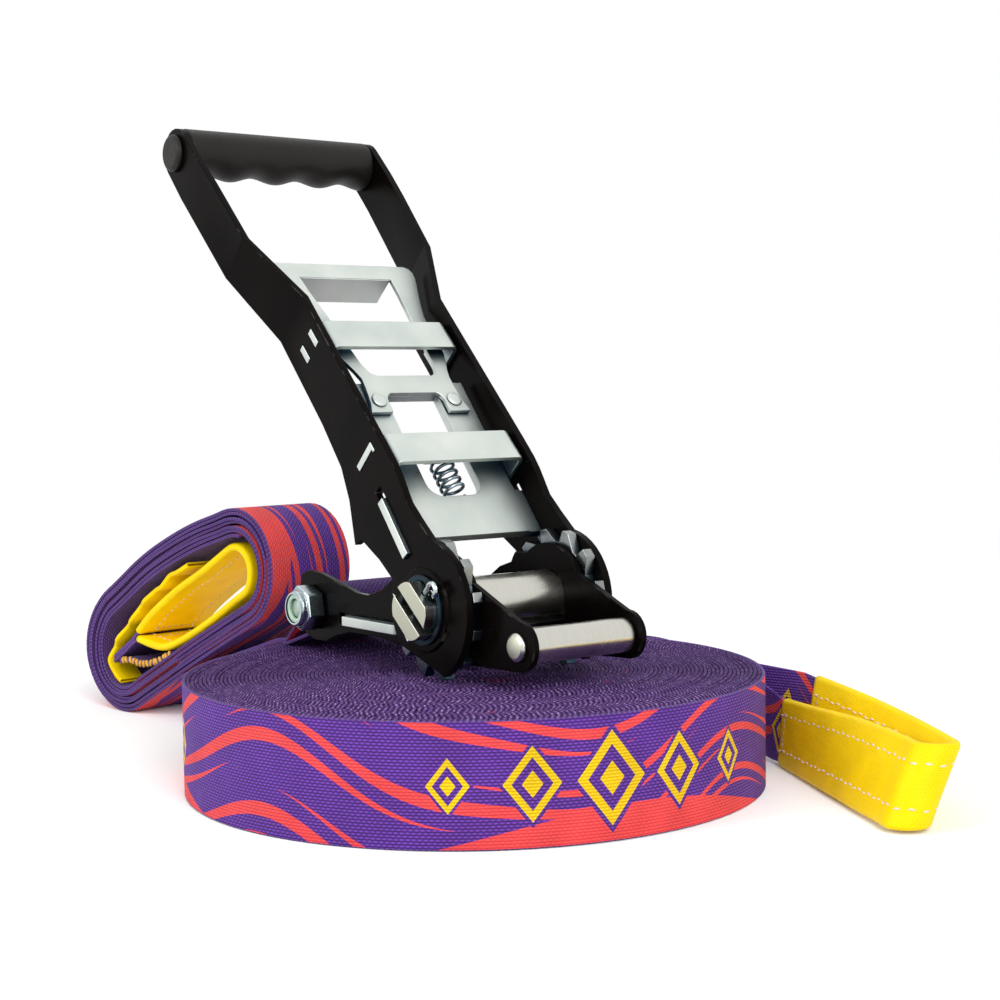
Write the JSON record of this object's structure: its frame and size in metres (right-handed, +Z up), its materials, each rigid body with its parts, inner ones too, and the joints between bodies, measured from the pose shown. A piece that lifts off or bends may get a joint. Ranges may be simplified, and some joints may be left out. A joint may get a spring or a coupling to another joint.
{
  "type": "slackline kit",
  "caption": "Slackline kit: a flat roll of webbing with a sleeved end loop, and a long-handled ratchet with its rolled anchor strap standing on it.",
  "frame": {"origin": "middle of the rolled line's underside, on the floor", "axes": "+Z up; +X along the ratchet's mandrel, from the plate with the lock nut to the other; +Y from the mandrel towards the anchor bolt and its strap"},
  "size_m": [0.264, 0.5074, 0.3044],
  "materials": {
    "purple_webbing": "woven polyester webbing, matt, printed",
    "yellow_sleeve": "woven protection sleeve, satin",
    "black_paint": "satin black coating",
    "black_plastic": "moulded, matt",
    "zinc_plate": "zinc plated",
    "bright_steel": "bright turned steel",
    "nut_insert": "translucent nylon ring"
  },
  "bodies": {
    "line": {"line_webbing": "purple_webbing", "line_loop_sleeve": "yellow_sleeve"},
    "ratchet_frame": {"frame_plate_left": "black_paint", "frame_plate_right": "black_paint", "frame_bridge": "black_paint", "frame_spring_bar": "zinc_plate", "anchor_bolt": "zinc_plate", "anchor_nut": "zinc_plate", "anchor_nut_insert": "nut_insert", "anchor_spacer": "zinc_plate", "roller_pin": "bright_steel", "lock_pawl_spring": "bright_steel", "anchor_strap": "purple_webbing", "strap_loop_sleeve": "yellow_sleeve"},
    "front_roller": {"front_roller": "bright_steel"},
    "lock_pawl": {"lock_pawl": "zinc_plate"},
    "mandrel": {"mandrel_half_upper": "bright_steel", "mandrel_half_lower": "bright_steel", "ratchet_wheel_left": "zinc_plate", "ratchet_wheel_right": "zinc_plate", "mandrel_washer_left": "zinc_plate", "mandrel_washer_right": "zinc_plate", "split_pin_left": "zinc_plate", "split_pin_right": "zinc_plate"},
    "handle": {"handle_plate_left": "black_paint", "handle_plate_right": "black_paint", "handle_grip": "black_plastic", "grip_rod": "bright_steel", "grip_cap_left": "black_plastic", "grip_cap_right": "black_plastic", "cross_strip_lower": "zinc_plate", "cross_strip_upper": "zinc_plate", "drive_pawl_spring": "bright_steel"},
    "drive_pawl": {"pawl_plate": "zinc_plate", "pull_plate": "zinc_plate", "pull_rivet_left": "bright_steel", "pull_rivet_right": "bright_steel"}
  },
  "joints": [
    {"name": "ratchet_lift", "type": "slide", "parent": "line", "child": "ratchet_frame", "axis": [0, 0, 1], "range_m": [0, 0.12]},
    {"name": "handle_swing", "type": "hinge", "parent": "ratchet_frame", "child": "handle", "pos_m": [0, -0.0184, 0.0809], "axis": [1, 0, 0], "range_deg": [-28.5, 101.5]},
    {"name": "mandrel_spin", "type": "hinge", "parent": "ratchet_frame", "child": "mandrel", "pos_m": [0, -0.0184, 0.0809], "axis": [1, 0, 0], "continuous": true},
    {"name": "roller_spin", "type": "hinge", "parent": "ratchet_frame", "child": "front_roller", "pos_m": [0, -0.0711, 0.0696], "axis": [1, 0, 0], "continuous": true},
    {"name": "drive_pawl_slide", "type": "slide", "parent": "handle", "child": "drive_pawl", "axis": [0, 0.6361, 0.7716], "range_m": [0, 0.006], "stiffness_N_per_m": 900, "springref_m": -0.01, "deforming": ["drive_pawl_spring"]},
    {"name": "lock_pawl_slide", "type": "slide", "parent": "ratchet_frame", "child": "lock_pawl", "axis": [0, 1, 0], "range_m": [0, 0.007], "stiffness_N_per_m": 600, "springref_m": -0.01, "deforming": ["lock_pawl_spring"]}
  ]
}
